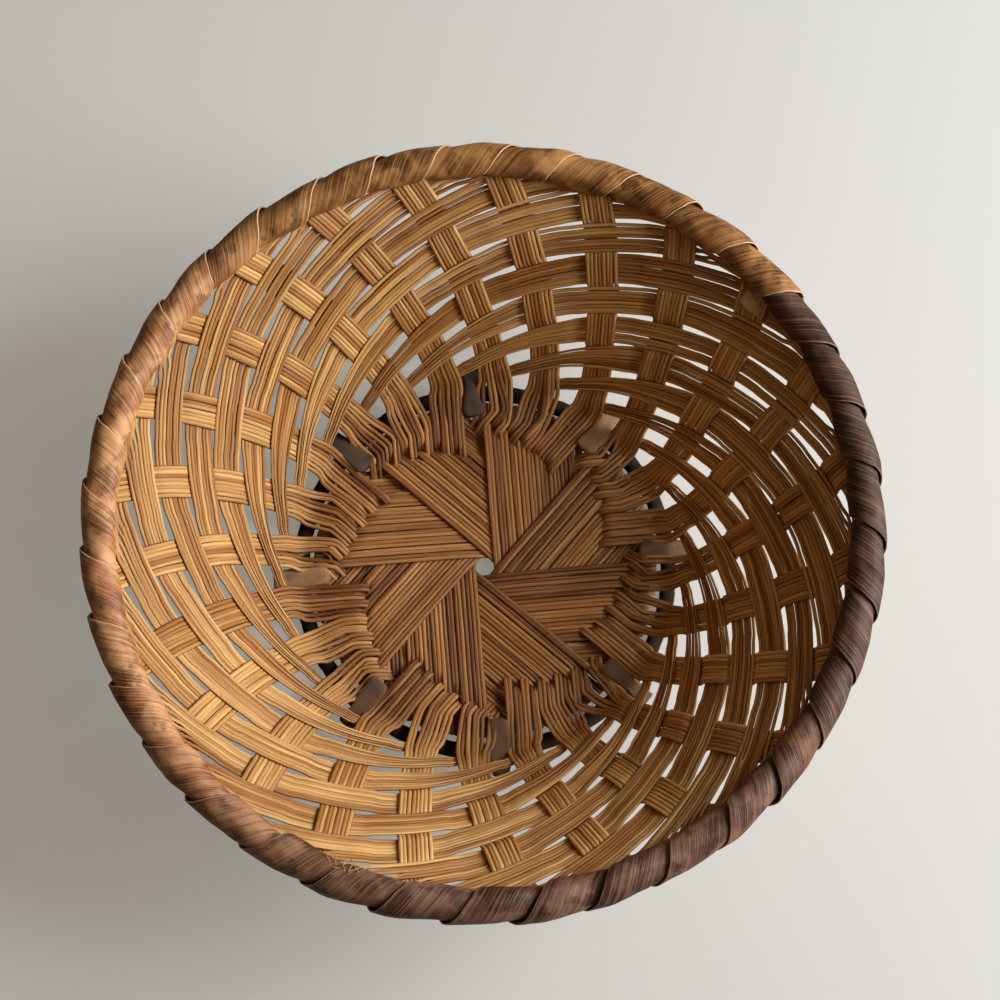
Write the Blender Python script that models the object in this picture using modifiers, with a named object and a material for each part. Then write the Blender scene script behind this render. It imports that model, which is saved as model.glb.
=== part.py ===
"""Woven basket: a shallow bowl plaited from flat bundles of thin rods.

Twenty-four bundles cross in eight groups at the floor, turn up at the corner and
interlace over and under up the wall.  A hoop wrapped with a wide bark strip binds
their ends, a foot hoop carries the corner and eight pegs wedge the two together.
"""

import math

import bmesh
import bpy
import numpy as np
from mathutils import Vector

# Driving dimensions, in metres and degrees

GROUPS = 8                       # crossing groups of bundles on the floor
GROUP_BUNDLES = 3                # bundles side by side in one group
FIRST_GROUP_ANGLE = 4.6          # direction of the first group, from +X
BUNDLE_THICKNESS = 0.0013        # one layer of rods
FLOOR_BUNDLE_WIDTH = 0.0135      # where the rods spread over the floor
FLOOR_BUNDLE_GAP = 0.0015        # between two bundles of one group
FLOOR_HOLE_RADIUS = 0.0040       # the eye left at the crossing
FLOOR_LAYER_GAP = 0.0005         # between groups stacked at the crossing
FLOOR_CLEARANCE = 0.0028         # lowest bundle above the table
STAKE_RING_WIDTH = 0.0090        # upright runs, gathered where they leave the floor
STAKE_WIDTH = 0.0120             # at the first row
STAKE_TOP_WIDTH = 0.0145         # and where they reach the rim
WEAVER_START_WIDTH = 0.0044      # slanting runs, gathered where they start
WEAVER_FOOT_WIDTH = 0.0056       # on the way to the first row
WEAVER_FOOT_FILL = 0.44          # share of a row that they cover there
WEAVER_FILL = 0.86               # and on the wall
WEAVER_SPREAD = (0.5, 3.0)       # rows over which they widen

TAPER_RADIUS = 0.0440            # lower half starts to narrow here
UPPER_END_RADIUS = 0.0620        # where the upper half of a floor run is cut
RISE_START_RADIUS = 0.0600       # lower half leaves the floor stack here
RISE_END_RADIUS = 0.0710         # and lies on the ring above the foot here
FAN_RADIUS = 0.0700              # straight floor lines begin to fan out here
WEAVER_START_RADIUS = 0.0720     # inner end of a slanting run, under its stake
WEAVER_TURN = (-0.40, 0.17)      # rows over which it then swings away clockwise

WALL_FOOT_RADIUS = 0.0870        # where the wall begins, middle of its thickness
CORNER_RADIUS = 0.0080           # bend from floor to wall
ROWS = 7                         # crossings up the wall, on the side with most
ROWS_SIDE = 58.0                 # that side
ROWS_LOST = 0.9                  # handmade: so many fewer on the side across
RIM_TAIL = 0.12                  # from the last row to the end of a stake
STAKE_TRIM = 0.25                # rows over which its slanting end is squared off
WEAVER_SHORT = 0.25              # weavers end this much before the stakes
WEAVER_TIP = 0.30                # what is left of their width at the tip
LEAN_PER_ROW = 1.20              # mean turn of a stake from the foot to the first row
LEAN_POWER = 1.18                # it leans more towards the rim
LEAN_SWAY = 0.28                 # handmade: it leans more on one side
SWAY_SIDE = 104.0                # the side where it leans most
STAKE_LIFT = 0.0010              # stake off the middle of the wall
WEAVER_LIFT = 0.0016             # weaver off the middle of the wall
LIFT_FLAT = 0.25                 # share of a row kept at full lift
SKEW_ROWS = (-0.4, 0.3)          # a stake's sections turn to the weavers' slant

TOTAL_HEIGHT = 0.1080
RIM_OUTER_RADIUS = 0.1650
RIM_WIDTH = 0.0172               # across the wrapped rim
RIM_HEIGHT = 0.0152
RIM_SIDES = 8                    # facets round the rim section
RIM_SEAT = 0.0022                # wall ends below the wrapped rim
WRAP_TURNS = 36
LIGHT_BARK_TURNS = 14            # one length is light bark, the other dark
LIGHT_BARK_START = 25.0          # where the light length begins
WRAP_THICKNESS = 0.0007
WRAP_OVERLAP = 0.07              # share of a turn that covers the next
WRAP_LAYER_GAP = 0.0005
HOOP_CLEARANCE = 0.0010          # inside the wrap, for its straight chords

FOOT_HEIGHT = 0.0078
FOOT_WIDTH = 0.0080
FOOT_INSET = 0.0038              # middle of the foot hoop, in from the wall
FOOT_CROWN = 0.0026              # rounding of its upper edges

PEG_WIDTH = 0.0100
PEG_LENGTH = 0.0250
PEG_INSET = 0.0170               # inner end of a peg, in from the wall
PEG_INNER_HEIGHT = 0.0058
PEG_OUTER_HEIGHT = 0.0036
PEG_OUTER_WIDTH = 0.0080
PEG_ROUNDING = 0.0014

RING_STEPS = 48                  # facets round the foot hoop and the rim hoop
SEAT_GAP = 0.0003                # clearance where one piece rests on another

STAKE_COLOUR = (0.42, 0.25, 0.11, 1.0)
WEAVER_COLOUR = (0.50, 0.32, 0.14, 1.0)
LIGHT_BARK_COLOUR = (0.42, 0.25, 0.11, 1.0)
DARK_BARK_COLOUR = (0.13, 0.085, 0.06, 1.0)
HOOP_COLOUR = (0.36, 0.23, 0.12, 1.0)
FOOT_COLOUR = (0.05, 0.035, 0.03, 1.0)
PEG_COLOUR = (0.45, 0.33, 0.22, 1.0)

# Sizes that follow from them

BUNDLES = GROUPS * GROUP_BUNDLES
GROUP_STEP = math.radians(360.0 / GROUPS)
BUNDLE_STEP = GROUP_STEP / GROUP_BUNDLES
FLOOR_PITCH = FLOOR_BUNDLE_WIDTH + FLOOR_BUNDLE_GAP
FLOOR_LOW = FLOOR_CLEARANCE + BUNDLE_THICKNESS / 2
FLOOR_STACK = GROUPS / 2 * (BUNDLE_THICKNESS + FLOOR_LAYER_GAP)
RING_HEIGHT = FOOT_HEIGHT + SEAT_GAP + BUNDLE_THICKNESS / 2 + WEAVER_LIFT

FOOT_RADIUS = WALL_FOOT_RADIUS - FOOT_INSET
PEG_INNER_RADIUS = WALL_FOOT_RADIUS - PEG_INSET
RIM_A = RIM_WIDTH / 2
RIM_B = RIM_HEIGHT / 2
RIM_RADIUS = RIM_OUTER_RADIUS - RIM_A
RIM_CENTRE_HEIGHT = TOTAL_HEIGHT - RIM_B
WRAP_STEP = WRAP_THICKNESS + WRAP_LAYER_GAP
WALL_TOP = Vector((
    RIM_RADIUS - (RIM_A + RIM_SEAT) * math.sqrt(0.5),
    RIM_CENTRE_HEIGHT - (RIM_B + RIM_SEAT) * math.sqrt(0.5)))
EPS = 1e-4


def smooth(x, low, high):
    """0 below low, 1 above high, eased between."""
    x = min(max((x - low) / (high - low), 0.0), 1.0)
    return x * x * (3 - 2 * x)


def mix(a, b, share):
    return a + (b - a) * share


def polar(radius, angle, height):
    return Vector((radius * math.cos(angle), radius * math.sin(angle), height))


# The middle surface of wall and ring is turned from one profile of radius and
# height.  Places on it are counted in rows of crossings: 0 at the foot of the
# wall, negative inward.  How many rows there are up to the rim depends on the side.

def foot_slope():
    """Steepness of the wall where it leaves the corner."""
    rise = (WALL_TOP.y - RING_HEIGHT) * 1.06
    run = (WALL_TOP.x - WALL_FOOT_RADIUS) * 0.88
    return math.atan2(rise, run)


SLOPE = foot_slope()
WALL_FOOT = Vector((
    WALL_FOOT_RADIUS, RING_HEIGHT + CORNER_RADIUS * (1 - math.cos(SLOPE))))
ARC_START = WALL_FOOT_RADIUS - CORNER_RADIUS * math.sin(SLOPE)
ROW_HEIGHT = (WALL_TOP - WALL_FOOT).length / ROWS


def rows_to_rim(angle):
    """Row number at which a stake that starts at an angle reaches the rim."""
    across = 0.5 - 0.5 * math.cos(angle - math.radians(ROWS_SIDE))
    return ROWS + RIM_TAIL - ROWS_LOST * across


def wall_profile(share):
    """Point (radius, height) and slope at a share of the way up the wall."""
    radial = 0.88 * share + 0.12 * share ** 2
    upward = 1.10 * share - 0.10 * share ** 2
    point = Vector((mix(WALL_FOOT.x, WALL_TOP.x, radial),
                    mix(WALL_FOOT.y, WALL_TOP.y, upward)))
    slope = math.atan2((1.10 - 0.20 * share) * (WALL_TOP.y - WALL_FOOT.y),
                       (0.88 + 0.24 * share) * (WALL_TOP.x - WALL_FOOT.x))
    return point, slope


def ring_profile(back):
    """The same at a distance inward of the first row, round the corner."""
    slope = SLOPE - back / CORNER_RADIUS
    if slope > 0:
        return Vector((ARC_START + CORNER_RADIUS * math.sin(slope),
                       RING_HEIGHT + CORNER_RADIUS * (1 - math.cos(slope)))), slope
    flat = back - SLOPE * CORNER_RADIUS
    return Vector((ARC_START - flat, RING_HEIGHT)), 0.0


def profile(row, angle=0.0):
    if row < 0:
        return ring_profile(-row * ROW_HEIGHT)
    return wall_profile(row / rows_to_rim(angle))


def row_at(radius):
    """Row number of a radius on the flat ring."""
    return -(SLOPE * CORNER_RADIUS + ARC_START - radius) / ROW_HEIGHT


def surface(row, angle, lift):
    """Point at a row of the line that leaves the foot at an angle, moved inward
    by lift, and the inward normal there."""
    point, slope = profile(row, angle)
    here = leaned(angle, row)
    normal = Vector((-math.sin(slope) * math.cos(here),
                     -math.sin(slope) * math.sin(here), math.cos(slope)))
    return polar(point.x, here, point.y) + normal * lift, normal


def interlace(row):
    """+1 where stakes lie inside, -1 where weavers do, straight between.  A weaver
    first floats over two stakes, then goes under one and over one."""
    if row < LIFT_FLAT:
        return 1.0
    turn = row - min(max(row - 1.0, 0.0), 1.0)
    nearest = round(turn)
    away = turn - nearest
    side = 1.0 if nearest % 2 == 0 else -1.0
    if abs(away) <= LIFT_FLAT:
        return side
    return side * (0.5 - abs(away)) / (0.5 - LIFT_FLAT)


def leaned(angle, row):
    """Plan angle reached at a row by a line that leaves the foot at an angle."""
    turn = LEAN_PER_ROW + LEAN_SWAY * math.cos(angle - math.radians(SWAY_SIDE))
    return angle + math.radians(turn) * max(row, 0.0) ** LEAN_POWER


# Bundle runs

def group_direction(group):
    return math.radians(FIRST_GROUP_ANGLE) + GROUP_STEP * group


def foot_angle(index, radius):
    """Plan angle of a stake: a straight floor line that fans to even spacing."""
    group, place = divmod(index, GROUP_BUNDLES)
    outward = group_direction(group) + math.pi
    offset = FLOOR_HOLE_RADIUS + FLOOR_PITCH * (place + 0.5)
    straight = math.asin(min(offset / radius, 1.0))
    even = BUNDLE_STEP * (place + 0.5)
    fan = smooth(radius, FAN_RADIUS, WALL_FOOT_RADIUS)
    return outward + mix(straight, even, fan)


def stack_height(offset, along):
    """Height of a group in the crossing: highest ahead, lowest behind."""
    return FLOOR_LOW + FLOOR_STACK * (1 - math.atan2(offset, along) / math.pi)


def floor_sections(index):
    """Edges of the straight run, from its cut upper end to its lower half."""
    group, place = divmod(index, GROUP_BUNDLES)
    ahead = polar(1.0, group_direction(group), 0.0)
    aside = Vector((ahead.y, -ahead.x, 0.0))
    offset = FLOOR_HOLE_RADIUS + FLOOR_PITCH * (place + 0.5)
    reach = math.sqrt(UPPER_END_RADIUS ** 2 - offset ** 2)
    last = math.pi - math.asin(offset / RISE_START_RADIUS)
    for turn in np.linspace(math.asin(offset / UPPER_END_RADIUS), last, 9):
        along = offset / math.tan(turn)
        width = FLOOR_BUNDLE_WIDTH
        if along < 0:
            width = mix(FLOOR_BUNDLE_WIDTH, STAKE_RING_WIDTH,
                        smooth(math.hypot(offset, along), TAPER_RADIUS, RISE_START_RADIUS))
        edges = []
        for side in (-1, 1):
            edge = offset + side * width / 2
            stretch = 1.0
            if along > 0:
                stretch = math.sqrt(UPPER_END_RADIUS ** 2 - edge ** 2) / reach
            spot = ahead * along * stretch + aside * edge
            spot.z = stack_height(edge, along * stretch)
            edges.append(spot)
        yield edges[0], edges[1], Vector((0, 0, 1))


def stake_path(index):
    group, place = divmod(index, GROUP_BUNDLES)
    offset = FLOOR_HOLE_RADIUS + FLOOR_PITCH * (place + 0.5)

    def path(row):
        radius = profile(row)[0].x
        spot, normal = surface(row, foot_angle(index, radius), STAKE_LIFT * interlace(row))
        if radius < RISE_END_RADIUS:
            low = stack_height(offset, -math.sqrt(max(radius ** 2 - offset ** 2, 0)))
            spot.z = mix(low, spot.z, smooth(radius, RISE_START_RADIUS, RISE_END_RADIUS))
        return spot, normal
    return path


def weaver_path(index):
    def path(row):
        radius = profile(row)[0].x
        away = 0.0
        if row > WEAVER_TURN[0]:
            share = min((row - WEAVER_TURN[0]) / (WEAVER_TURN[1] - WEAVER_TURN[0]), 1.0)
            slack = WEAVER_TURN[1] * (3 * share ** 2 - 2 * share ** 3)
            pull = (WEAVER_TURN[1] - WEAVER_TURN[0]) * (share ** 3 - share ** 2)
            away = slack + pull if share < 1.0 else row
        angle = foot_angle(index, radius) - BUNDLE_STEP * away
        return surface(row, angle, -WEAVER_LIFT * interlace(row))
    return path


def strip_sections(path, rows, widths):
    """Edges of a strip whose width lies square to its path in the surface."""
    for row, width in zip(rows, np.linspace(widths[0], widths[1], len(rows))):
        spot, normal = path(row)
        along = path(row + EPS)[0] - path(row - EPS)[0]
        side = normal.cross(along).normalized() * width / 2
        yield spot - side, spot + side, normal


def wall_rows(start, end):
    """Rows up the wall where the lift starts and ends its change."""
    turning = [n + s * LIFT_FLAT for n in range(ROWS + 2) for s in (1, 3)]
    return [row for row in turning if start < row < end]


def stake_wall_sections(foot, rows):
    """Sections of a stake that are cut along the weavers it crosses, so that its
    whole width passes over or under one of them."""
    def edge(row, steps):
        lift = STAKE_LIFT * interlace(row + steps)
        return surface(row, foot + steps * BUNDLE_STEP, lift)[0]

    for row in rows:
        point, _ = profile(max(row, 0.0), foot)
        width = mix(STAKE_RING_WIDTH, STAKE_WIDTH, smooth(row, row_at(ARC_START), 0.0))
        if row > 0:
            width = mix(STAKE_WIDTH, STAKE_TOP_WIDTH, row / rows_to_rim(foot))
        half = width / 2 / (point.x * BUNDLE_STEP)
        skew = half * smooth(row, SKEW_ROWS[0], SKEW_ROWS[1])
        yield edge(row + skew, -half), edge(row - skew, half), surface(row, foot, 0.0)[1]
    yield (edge(rows_to_rim(foot - half * BUNDLE_STEP), -half),
           edge(rows_to_rim(foot + half * BUNDLE_STEP), half),
           surface(rows_to_rim(foot), foot, 0.0)[1])


def weaver_wall_sections(foot, rows):
    """Sections of a weaver that are cut along the stakes, and trimmed at the rim."""
    for row in rows:
        angle = foot - row * BUNDLE_STEP
        lift = -WEAVER_LIFT * interlace(row)
        fill = mix(WEAVER_FOOT_FILL, WEAVER_FILL, smooth(row, *WEAVER_SPREAD))
        top = min(row + fill / 2, rows_to_rim(angle) - WEAVER_SHORT)
        yield (surface(row - fill / 2, angle, lift)[0], surface(top, angle, lift)[0],
               surface(row, angle, lift)[1])


def loft(name, sections, thickness, material):
    """Closed strip through sections of (edge, edge, normal)."""
    mesh = bmesh.new()
    rings = []
    for left, right, normal in sections:
        half = normal * thickness / 2
        rings.append([mesh.verts.new(p) for p in
                      (left - half, right - half, right + half, left + half)])
    for near, far in zip(rings, rings[1:]):
        for i in range(4):
            k = (i + 1) % 4
            mesh.faces.new((near[i], near[k], far[k], far[i]))
    mesh.faces.new(rings[0][::-1])
    mesh.faces.new(rings[-1])
    return finish(name, mesh, material)


def finish(name, mesh, material):
    if mesh.calc_volume(signed=True) < 0:
        bmesh.ops.reverse_faces(mesh, faces=mesh.faces)
    data = bpy.data.meshes.new(name)
    mesh.to_mesh(data)
    mesh.free()
    data.materials.append(material)
    part = bpy.data.objects.new(name, data)
    basket.objects.link(part)
    return part


def principled(name, colour, roughness):
    material = bpy.data.materials.new(name)
    material.use_nodes = True
    shader = material.node_tree.nodes["Principled BSDF"]
    shader.inputs["Base Color"].default_value = colour
    shader.inputs["Roughness"].default_value = roughness
    shader.inputs["Metallic"].default_value = 0.0
    material.diffuse_color = colour
    return material


def add_bundles():
    ring_rows = [row_at(r) for r in np.linspace(RISE_START_RADIUS, RISE_END_RADIUS, 5)[1:]]
    ring_rows += [row_at(mix(RISE_END_RADIUS, ARC_START, 0.5)), row_at(ARC_START)]
    bend = [-SLOPE * CORNER_RADIUS / ROW_HEIGHT * s for s in (0.6, 0.25)]
    inner = [row_at(WEAVER_START_RADIUS), row_at(mix(WEAVER_START_RADIUS, ARC_START, 0.5)),
             row_at(ARC_START)]
    swing = list(np.linspace(WEAVER_TURN[0], WEAVER_TURN[1], 5))
    for index in range(BUNDLES):
        foot = foot_angle(index, WALL_FOOT_RADIUS)
        stake = list(floor_sections(index))
        stake += strip_sections(stake_path(index), ring_rows,
                                (STAKE_RING_WIDTH, STAKE_RING_WIDTH))
        end = rows_to_rim(foot) - STAKE_TRIM
        stake += stake_wall_sections(foot, bend + [0.0] + wall_rows(0.0, end) + [end])
        loft(f"stake_{index + 1:02d}", stake, BUNDLE_THICKNESS, rods)

        run = list(strip_sections(weaver_path(index), inner + swing,
                                  (WEAVER_START_WIDTH, WEAVER_FOOT_WIDTH)))
        end = weaver_end(foot)
        run += weaver_wall_sections(foot, [0.5] + wall_rows(0.5, end) + [end])
        loft(f"weaver_{index + 1:02d}", run, BUNDLE_THICKNESS, light_rods)


def weaver_end(foot):
    """Row at which the weaver that starts at a foot angle is trimmed to its tip."""
    end = float(ROWS)
    for _ in range(12):
        rim = rows_to_rim(foot - BUNDLE_STEP * end) - WEAVER_SHORT
        end = rim + WEAVER_FILL / 2 - WEAVER_TIP
    return end


def add_rim():
    """The core hoop and the bark wound round it, each turn lapping clockwise."""
    spread = WRAP_STEP * (1 + WRAP_OVERLAP)
    inner_a = RIM_A - spread - WRAP_THICKNESS / 2
    inner_b = RIM_B - spread - WRAP_THICKNESS / 2
    turn = 2 * math.pi / WRAP_TURNS

    def on_rim(theta, alpha, lift):
        out = RIM_RADIUS + (inner_a + lift) * math.cos(alpha)
        return polar(out, theta, RIM_CENTRE_HEIGHT + (inner_b + lift) * math.sin(alpha))

    def wound(stations):
        for station in stations:
            alpha = 2 * math.pi * station / RIM_SIDES
            start = math.radians(LIGHT_BARK_START) + turn * station / RIM_SIDES
            stop = start + turn * (1 + WRAP_OVERLAP)
            normal = polar(math.cos(alpha), (start + stop) / 2, math.sin(alpha))
            yield on_rim(start, alpha, spread), on_rim(stop, alpha, 0.0), normal

    splice, last = LIGHT_BARK_TURNS * RIM_SIDES, WRAP_TURNS * RIM_SIDES
    for name, first, end, material in (("rim_wrap_light", 0, splice, bark),
                                       ("rim_wrap_dark", splice, last, dark_bark)):
        stations = list(range(first, end)) + [end - 0.1]
        loft(name, wound(stations), WRAP_THICKNESS, material)

    slack = HOOP_CLEARANCE + WRAP_THICKNESS / 2
    outline = [(RIM_RADIUS + (inner_a - slack) * math.cos(a),
                RIM_CENTRE_HEIGHT + (inner_b - slack) * math.sin(a))
               for a in (2 * math.pi * i / RIM_SIDES for i in range(RIM_SIDES))]
    turned("rim_hoop", outline, RING_STEPS, hoop_wood)


def turned(name, outline, steps, material):
    """Ring turned from a closed outline of (radius, height)."""
    mesh = bmesh.new()
    verts = [mesh.verts.new((x, 0.0, z)) for x, z in outline]
    edges = [mesh.edges.new((verts[i], verts[(i + 1) % len(verts)]))
             for i in range(len(verts))]
    bmesh.ops.spin(mesh, geom=verts + edges, cent=(0, 0, 0), axis=(0, 0, 1),
                   angle=2 * math.pi, steps=steps, use_merge=True)
    bmesh.ops.remove_doubles(mesh, verts=mesh.verts, dist=1e-6)
    bmesh.ops.recalc_face_normals(mesh, faces=mesh.faces)
    return finish(name, mesh, material)


def add_foot():
    inside, outside = FOOT_RADIUS - FOOT_WIDTH / 2, FOOT_RADIUS + FOOT_WIDTH / 2
    outline = [(inside, 0.0), (outside, 0.0), (outside, FOOT_HEIGHT - FOOT_CROWN),
               (outside - FOOT_CROWN, FOOT_HEIGHT), (inside + FOOT_CROWN, FOOT_HEIGHT),
               (inside, FOOT_HEIGHT - FOOT_CROWN)]
    turned("foot_ring", outline, RING_STEPS, foot_bark)


def add_pegs():
    """Whittled pegs between the bundles of two groups, wedged over the foot."""
    for index in range(GROUPS):
        mesh = bmesh.new()
        bmesh.ops.create_cube(mesh, size=1.0)
        for vert in mesh.verts:
            outer = vert.co.x > 0
            high = PEG_OUTER_HEIGHT if outer else PEG_INNER_HEIGHT
            wide = PEG_OUTER_WIDTH if outer else PEG_WIDTH
            vert.co = Vector((PEG_LENGTH * (vert.co.x + 0.5), wide * vert.co.y,
                              high * (vert.co.z + 0.5)))
        peg = finish(f"peg_{index + 1}", mesh, peg_wood)
        peg.location = polar(PEG_INNER_RADIUS, group_direction(index), FOOT_HEIGHT + SEAT_GAP)
        peg.rotation_euler = (0.0, 0.0, group_direction(index))
        bevel = peg.modifiers.new("whittled edges", "BEVEL")
        bevel.width = PEG_ROUNDING
        bevel.segments = 2
        bevel.limit_method = "NONE"


for old in list(bpy.data.objects):
    bpy.data.objects.remove(old, do_unlink=True)
basket = bpy.data.collections.new("woven basket")
bpy.context.scene.collection.children.link(basket)

rods = principled("rods, shaded", STAKE_COLOUR, 0.6)
light_rods = principled("rods, lit", WEAVER_COLOUR, 0.55)
bark = principled("light bark", LIGHT_BARK_COLOUR, 0.55)
dark_bark = principled("dark bark", DARK_BARK_COLOUR, 0.6)
hoop_wood = principled("hoop wood", HOOP_COLOUR, 0.7)
foot_bark = principled("foot bark", FOOT_COLOUR, 0.8)
peg_wood = principled("peg wood", PEG_COLOUR, 0.65)

add_bundles()
add_rim()
add_foot()
add_pegs()
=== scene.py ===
"""Woven basket: the looks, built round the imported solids.

Each flat bundle becomes its single rods, which follow the same lattice of crossings;
the rim becomes a bark strip wound round its hoop; foot hoop and pegs get their finish.
"""

import math
import random

import bmesh
import bpy
from mathutils import Matrix, Vector, noise


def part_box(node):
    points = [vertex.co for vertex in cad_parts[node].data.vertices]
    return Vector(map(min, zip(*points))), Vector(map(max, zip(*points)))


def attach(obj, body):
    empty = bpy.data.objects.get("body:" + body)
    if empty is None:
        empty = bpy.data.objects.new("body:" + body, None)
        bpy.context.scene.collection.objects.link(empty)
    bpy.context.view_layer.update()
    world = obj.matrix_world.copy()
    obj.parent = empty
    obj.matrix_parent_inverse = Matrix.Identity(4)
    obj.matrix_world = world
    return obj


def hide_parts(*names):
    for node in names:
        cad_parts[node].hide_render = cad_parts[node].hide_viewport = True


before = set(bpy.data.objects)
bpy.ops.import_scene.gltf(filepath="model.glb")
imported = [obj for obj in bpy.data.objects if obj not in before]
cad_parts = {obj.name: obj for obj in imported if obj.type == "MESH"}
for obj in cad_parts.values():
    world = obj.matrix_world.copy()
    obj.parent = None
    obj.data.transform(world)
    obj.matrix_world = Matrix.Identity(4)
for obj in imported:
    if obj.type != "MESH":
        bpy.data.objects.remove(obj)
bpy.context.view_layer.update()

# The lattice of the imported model, in metres and degrees

GROUPS = 8
GROUP_BUNDLES = 3
FIRST_GROUP_ANGLE = 4.6
BUNDLE_THICKNESS = 0.0013
FLOOR_BUNDLE_WIDTH = 0.0135
FLOOR_BUNDLE_GAP = 0.0015
FLOOR_HOLE_RADIUS = 0.0040
FLOOR_LAYER_GAP = 0.0005
FLOOR_CLEARANCE = 0.0028
STAKE_WIDTH = 0.0134
STAKE_TOP_WIDTH = 0.0150
WEAVER_START_WIDTH = 0.0026
WEAVER_FOOT_WIDTH = 0.0040
WEAVER_FOOT_FILL = 0.42          # share of a row's height that a weaver fills
WEAVER_FILL = 0.89               # the same higher up
WEAVER_SPREAD = (0.5, 3.0)       # rows over which it widens from one to the other
WEAVER_TURN = (-0.40, 0.17)      # rows over which it swings away from its stake
WALL_FOOT_RADIUS = 0.0870
WALL_FLARE = 0.12                # how much more the wall opens near the rim
WALL_ROUNDING = 0.10             # how much more it climbs near the foot
WALL_FOOT_RISE = 1.06            # the same for the slope at the foot
CORNER_RADIUS = 0.0080
ROWS = 7                         # rows of crossings up the wall
ROWS_SIDE = 58.0                 # direction in which the wall has all of them
ROWS_LOST = 0.9                  # how many are missing opposite
RIM_TAIL = 0.12                  # rows above the last crossing
LEAN_PER_ROW = 1.20              # turn of a stake in its first row
LEAN_POWER = 1.18
LEAN_SWAY = 0.28                 # how much that turn differs round the basket
SWAY_SIDE = 104.0                # direction in which it is largest
LIFT_FLAT = 0.25                 # rows on both sides of a crossing that stay level
LIFT_SOFT = 0.05
SKEW_ROWS = (-0.4, 0.3)          # rows over which stakes take on the weavers' slant
RING_LIFT = 0.0016               # gap between the corner and the foot hoop
RIM_SEAT = 0.0022                # gap between the wall's top and the rim
RIM_RADIUS = 0.1564              # to the middle of the rim's section
RIM_EXTRA_WIDTH = 0.0010         # on each side, over its height
WRAP_TURNS = 36
LIGHT_BARK_TURNS = 13
LIGHT_BARK_START = 35.0          # the splice's direction

# What only the looks need

RODS = 8                         # rods in a bundle
ROD_SIDES = 6
ROD_FLATNESS = 0.66              # height of a rod over its width
FLOOR_ROD = 0.00204              # width of a rod on the floor
ROD_OVERLAP = 1.17               # width of a rod over its share of the bundle
TIP_ROD = 0.00130                # least width, where a weaver narrows
ROD_PAIRING = 0.00008            # they lie in pairs
ROD_UNEVENNESS = 0.18            # of the rods' spacing and thickness
THICKNESS_SHARE = 0.6            # the thickness has this share of it
ROD_SWELL = 0.08                 # of the thickness along one rod
ROD_TONE_SPREAD = 0.36           # round its bundle's tone
BUNDLE_TONES = (0.3, 0.7)        # from dark, 0, to pale, 1
STAKE_LIFT = 0.00100             # rods touch where the strips keep a gap
WEAVER_LIFT = 0.00052
FLOOR_STEP = 0.0040              # spacing of the stations along a rod
RING_STEP = 0.0020
ROW_STEPS = 9                    # stations from one row to the next
WEAVER_START_STEPS = 16
FLOOR_END_RADIUS = 0.0460        # floor runs end here, or farther out, far from the eye
FLOOR_END_MARGIN = 0.0080
BEND_ROWS = (-0.4, 0.9)          # rows over which stakes gather from their spread
PAIR_ROWS = (-0.5, 1.0)          # rows over which their pairs come together
STAKE_WIDTH_ROWS = (-1.0, 1.0)   # rows over which rods take on their width on the wall
DIVE_RADII = (0.0630, 0.0495)    # first and last rod of a group start to dive here
DIVE_SHARE = 1.3                 # so that the outermost rods dive at the second radius
DIVE_LENGTH = 0.0060
DIVE_HEIGHT = 0.0067
DIVE_REACH = 0.0775              # and run on under the ring
CLIMB_RADII = (0.0555, 0.0690)   # at their other end they come out on top here
CLIMB_LENGTH = 0.0055
PAIR_STAGGER = 0.0026            # every other pair starts and ends farther out
BEND_RADIUS = 0.0700             # sharp bend of the rods towards the wall
BEND_STRAY = 0.0075
BEND_EASE = 0.0040
BEND_SPREAD = 0.20               # how much wider a stake is there
PAIR_SHIFT = 0.0008              # stray of the pairs there
PAIR_RISE = 0.0022
WEAVER_INNER_RADIUS = 0.0680
WEAVER_INNER_STRAY = 0.0040
WEAVER_ON_WALL = 0.6             # row from which a weaver follows the wall alone
WEAVER_SWELL = 0.16              # of its width
WEAVER_CROWD = 0.00035           # its rods lie at two heights where it is narrow
CROWD_ROWS = (0.5, 3.0)          # rows over which that ends
USUAL_WEAVER_WIDTH = 0.011       # makes a wobble a share of the width
TUCK_ROWS = 0.6                  # rods run on along the rim, bound under the bark
TUCK_HEIGHT = 0.4                # and up under it by this many rows
BUNDLE_WOBBLE = 0.0006
WEAVER_WOBBLE_SHARE = 0.6        # weavers have this share of it
ROD_WOBBLE = 0.00045
FLOOR_WOBBLE_SHARE = 0.6
ROD_LIFT_WOBBLE = 0.00015
FLOOR_LIFT_WOBBLE = 0.0002
FRAYED_FIBRES = 9
FRAYED_ANGLES = (246.5, 253.0)   # round the basket, on the near left
FRAYED_SIDES = (108.0, 138.0)    # round the rim's section
FRAYED_INSET = 0.0014
FRAYED_TURN = 1.6                # radians to either side of straight inward
FRAYED_LENGTHS = (0.003, 0.0075)
FRAYED_THICKNESS = 0.0004
FRAYED_STATIONS = 7
FRAYED_TONE = 0.9
SEED = 11

CAMERA_LENS = 72.0
CAMERA_SENSOR = 36.0
CAMERA_TILT = 15.0               # from straight down, towards the near side
CAMERA_AIM = Vector((0.0, 0.0, 0.1004))
CAMERA_DISTANCE = 0.81335
CAMERA_SHIFT = (0.00687, 0.00595)  # sideways and up, at the camera

# Sizes that follow from them

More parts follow.
